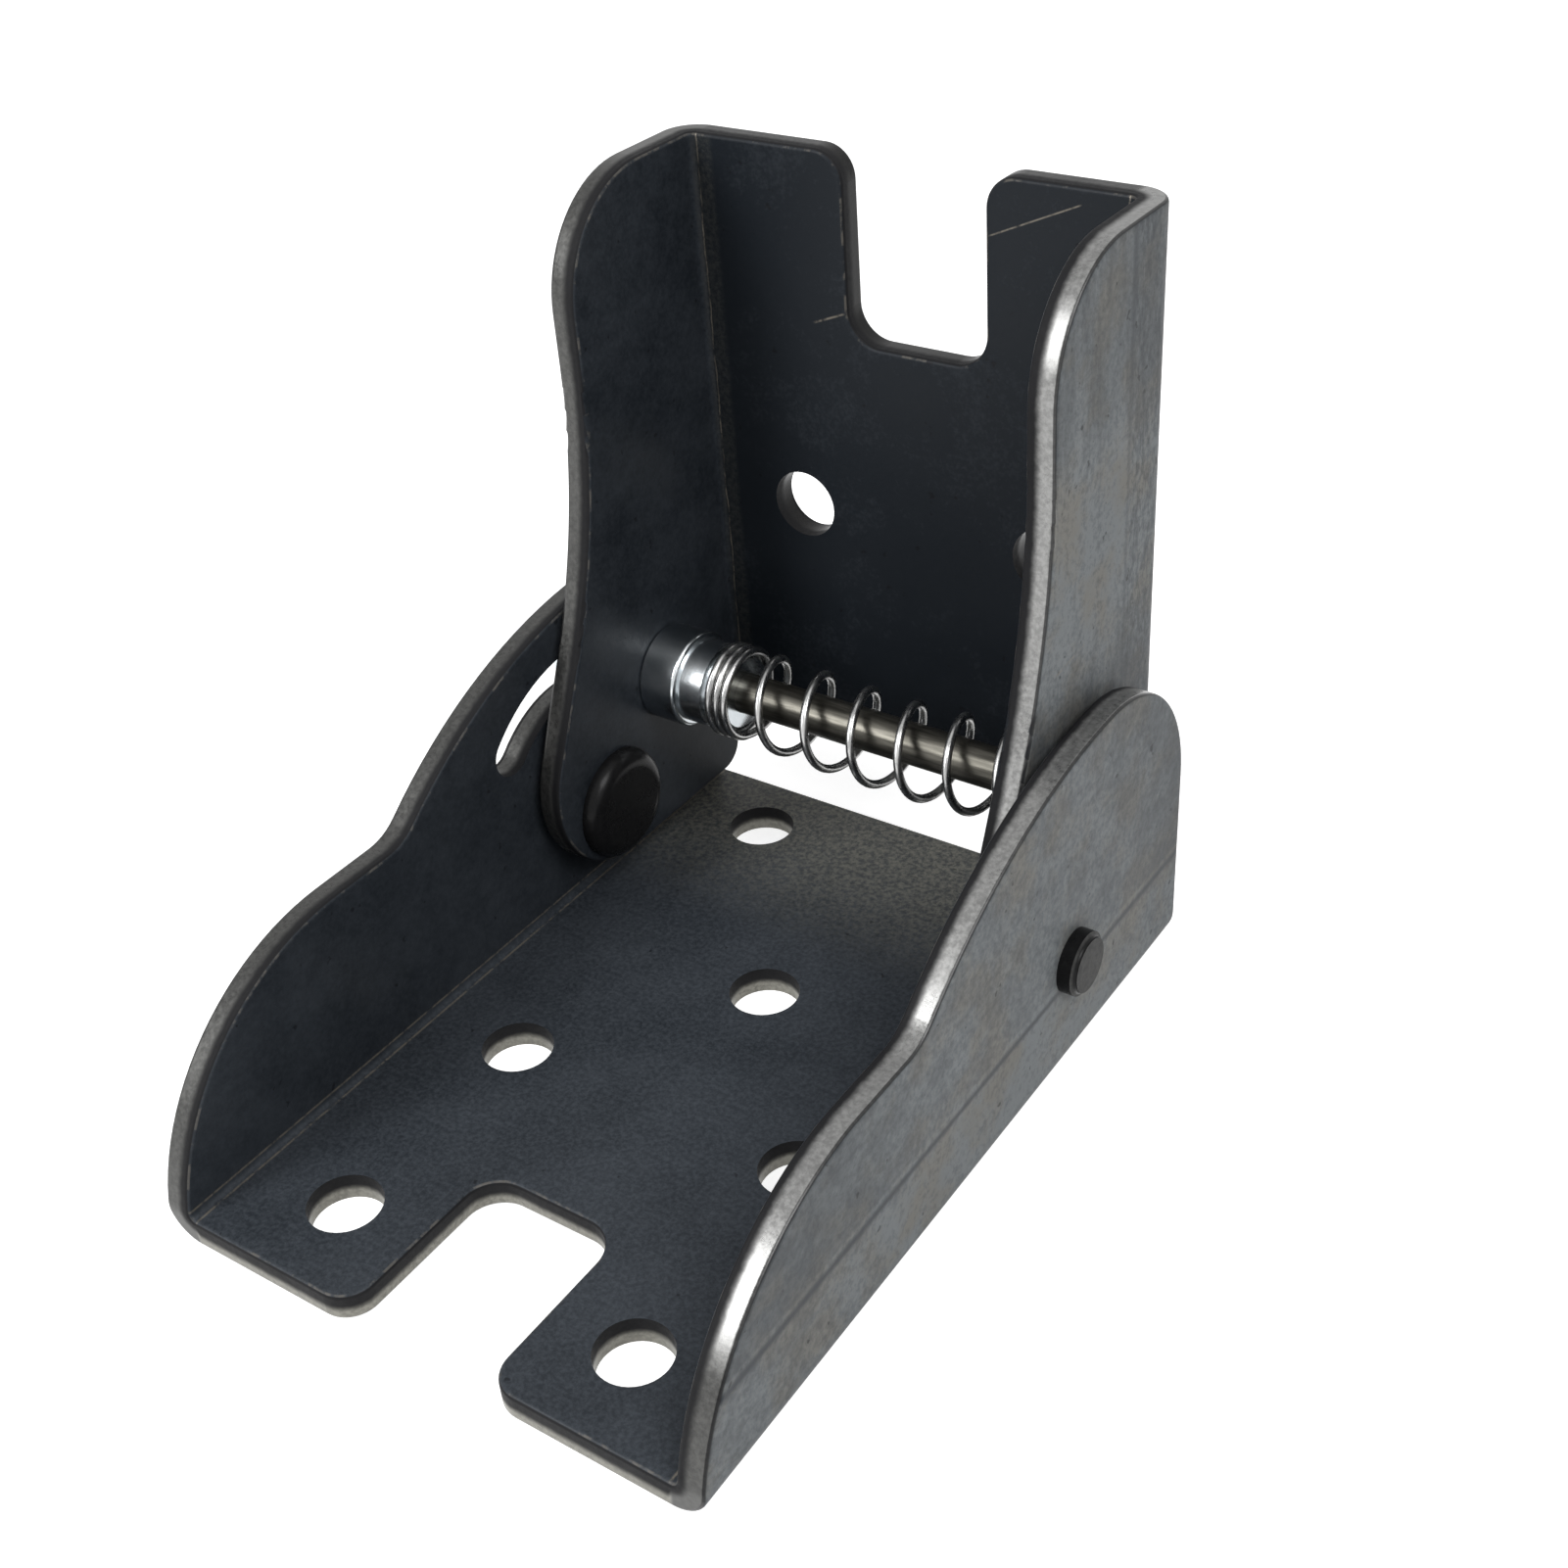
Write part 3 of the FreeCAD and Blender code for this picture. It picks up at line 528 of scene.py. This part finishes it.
def coil_point(turns):
    """A point on the wire: the open turns hang lowest at the middle of the spring."""
    angle = FIRST_ANGLE + 2 * math.pi * turns
    across = Vector((0, math.cos(angle), math.sin(angle))) * coil_radius
    open_share = min(max((turns - LEFT_TURNS) / OPEN_TURNS, 0), 1)
    hang = Vector((0, 0, -SAG * MM * math.sin(math.pi * open_share)))
    return Vector((coil_x(turns), spring_centre.y, spring_centre.z)) + across + hang


def wire_mesh(name, points, radius, sides):
    """A round wire along points, closed at both ends with flat caps."""
    mesh = bmesh.new()
    rings = []
    for index, point in enumerate(points):
        before = points[max(index - 1, 0)]
        after = points[min(index + 1, len(points) - 1)]
        along = (after - before).normalized()
        outward = Vector((0, point.y - spring_centre.y, point.z - spring_centre.z)).normalized()
        side = along.cross(outward).normalized()
        outward = side.cross(along)
        ring = []
        for step in range(sides):
            angle = 2 * math.pi * step / sides
            around = outward * math.cos(angle) + side * math.sin(angle)
            ring.append(mesh.verts.new(point + around * radius))
        rings.append(ring)
    for ring, following in zip(rings, rings[1:]):
        for step in range(sides):
            after = (step + 1) % sides
            mesh.faces.new((ring[step], ring[after], following[after], following[step]))
    mesh.faces.new(reversed(rings[0]))
    mesh.faces.new(rings[-1])
    bmesh.ops.recalc_face_normals(mesh, faces=mesh.faces)
    for face in mesh.faces:
        face.smooth = len(face.verts) == 4
    data = bpy.data.meshes.new(name)
    mesh.to_mesh(data)
    mesh.free()
    piece = bpy.data.objects.new(name, data)
    bpy.context.scene.collection.objects.link(piece)
    return piece


turns_in_all = LEFT_TURNS + OPEN_TURNS + RIGHT_TURNS
wire_steps = range(turns_in_all * STEPS_PER_TURN + 1)
wire_points = [coil_point(step / STEPS_PER_TURN) for step in wire_steps]
spring = wire_mesh("lock_spring_wire", wire_points, WIRE * MM / 2, WIRE_SIDES)


def bright_wire(name):
    """Bright steel wire with a slightly cloudy surface."""
    material, shader, place, _ = new_material(name)
    cloud = place.noise(0.8, 3.0)
    feed(
        shader,
        Base_Color=cloud.ramp(0.3, 0.7).mix(WIRE_GREY, WIRE_BRIGHT),
        Roughness=0.2 + 0.15 * cloud,
        Metallic=1.0,
    )
    return material


spring.data.materials.append(bright_wire("spring_wire"))
press = next(joint for joint in frame["joints"] if joint["name"] == "pin_press")
spring_length = spring_high.x - spring_low.x
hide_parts("lock_spring")
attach(spring, "leg")
1 - press["range_m"][1] / spring_length
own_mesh(spring)

# Studio
# A white floor and surround that look bright, but light the bracket less than they show. A square
# soft lamp stands above to the right, and a tall, stronger one in front to the left.
FLOOR_HALF = 3.0
FLOOR_PAINT = (0.8, 0.8, 0.8, 1)
FLOOR_GLOW = 0.7
SURROUND_LIGHT = 0.4
NO_LIGHT = (0, 0, 0, 1)
WHITE_LIGHT = (1, 1, 1, 1)
UPPER_LAMP_PLACE = Vector((0.25, -0.10, 0.34))
UPPER_LAMP_SIZE = (0.2, 0.2)
UPPER_LAMP_POWER = 1.05
FRONT_LAMP_PLACE = Vector((-0.18, -0.32, 0.30))
FRONT_LAMP_SIZE = (0.13, 0.32)
FRONT_LAMP_POWER = 1.6
floor_data = bpy.data.meshes.new("floor")
signs = ((-1, -1), (1, -1), (1, 1), (-1, 1))
corners = [(across * FLOOR_HALF, along * FLOOR_HALF, 0) for across, along in signs]
floor_data.from_pydata(corners, [], [(0, 1, 2, 3)])
floor = bpy.data.objects.new("floor", floor_data)
floor.location.z = cad_low.z
bpy.context.scene.collection.objects.link(floor)


def seen_directly(start):
    """1 for rays from the camera, and for those that a mirror or a glass sends on."""
    seen = start.node("LightPath", {}, {}, "Is Camera Ray")
    path = seen.output.node.outputs
    glossy = Socket(start.tree, path["Is Glossy Ray"])
    through = Socket(start.tree, path["Is Transmission Ray"])
    return seen.larger(glossy).larger(through)


floor_paint = bpy.data.materials.new("floor_paint")
floor_paint.use_nodes = True
floor_shader = floor_paint.node_tree.nodes["Principled BSDF"]
floor_start = Socket(floor_paint.node_tree)
glow = seen_directly(floor_start).mix(NO_LIGHT, WHITE_LIGHT)
feed(floor_shader, Base_Color=FLOOR_PAINT, Roughness=0.9)
feed(floor_shader, Emission_Color=glow, Emission_Strength=FLOOR_GLOW)
floor.data.materials.append(floor_paint)

surround = bpy.data.worlds.new("surround")
surround.use_nodes = True
surround_start = Socket(surround.node_tree)
background = surround.node_tree.nodes["Background"]
shown = seen_directly(surround_start)
feed(background, Color=WHITE_LIGHT, Strength=SURROUND_LIGHT + (1 - SURROUND_LIGHT) * shown)
bpy.context.scene.world = surround

object_centre = (cad_low + cad_high) / 2


def soft_lamp(name, place, size, power):
    """A lamp behind a white panel, of a width and a height, that faces the object."""
    data = bpy.data.lights.new(name, "AREA")
    data.shape = "RECTANGLE"
    data.size, data.size_y = size
    data.energy = power
    lamp = bpy.data.objects.new(name, data)
    lamp.location = place
    lamp.rotation_mode = "QUATERNION"
    lamp.rotation_quaternion = (object_centre - lamp.location).to_track_quat("-Z", "Y")
    bpy.context.scene.collection.objects.link(lamp)


soft_lamp("upper_lamp", UPPER_LAMP_PLACE, UPPER_LAMP_SIZE, UPPER_LAMP_POWER)
soft_lamp("front_lamp", FRONT_LAMP_PLACE, FRONT_LAMP_SIZE, FRONT_LAMP_POWER)

# Camera
# It looks down on the open front of the bracket from the right, slightly rolled. Its place, angles
# and lens are those that fit the photo.
CAMERA_PLACE = Vector((67.73, -80.67, 95.12)) * MM
CAMERA_AZIMUTH = math.radians(36.43)
CAMERA_ELEVATION = math.radians(34.33)
CAMERA_ROLL = math.radians(-4.416)
FOCAL_LENGTH = 46.88
SENSOR = 36.0
NEAR_CLIP = 0.005
camera_data = bpy.data.cameras.new("camera")
camera_data.lens = FOCAL_LENGTH
camera_data.sensor_width = SENSOR
camera_data.clip_start = NEAR_CLIP
camera = bpy.data.objects.new("camera", camera_data)
level = math.cos(CAMERA_ELEVATION)
forward = Vector((
    -math.sin(CAMERA_AZIMUTH) * level,
    math.cos(CAMERA_AZIMUTH) * level,
    -math.sin(CAMERA_ELEVATION),
))
camera.location = CAMERA_PLACE
camera.rotation_mode = "QUATERNION"
camera.rotation_quaternion = forward.to_track_quat("-Z", "Y") @ Quaternion((0, 0, 1), CAMERA_ROLL)
bpy.context.scene.collection.objects.link(camera)
bpy.context.scene.camera = camera
bpy.context.scene.view_settings.view_transform = "Standard"
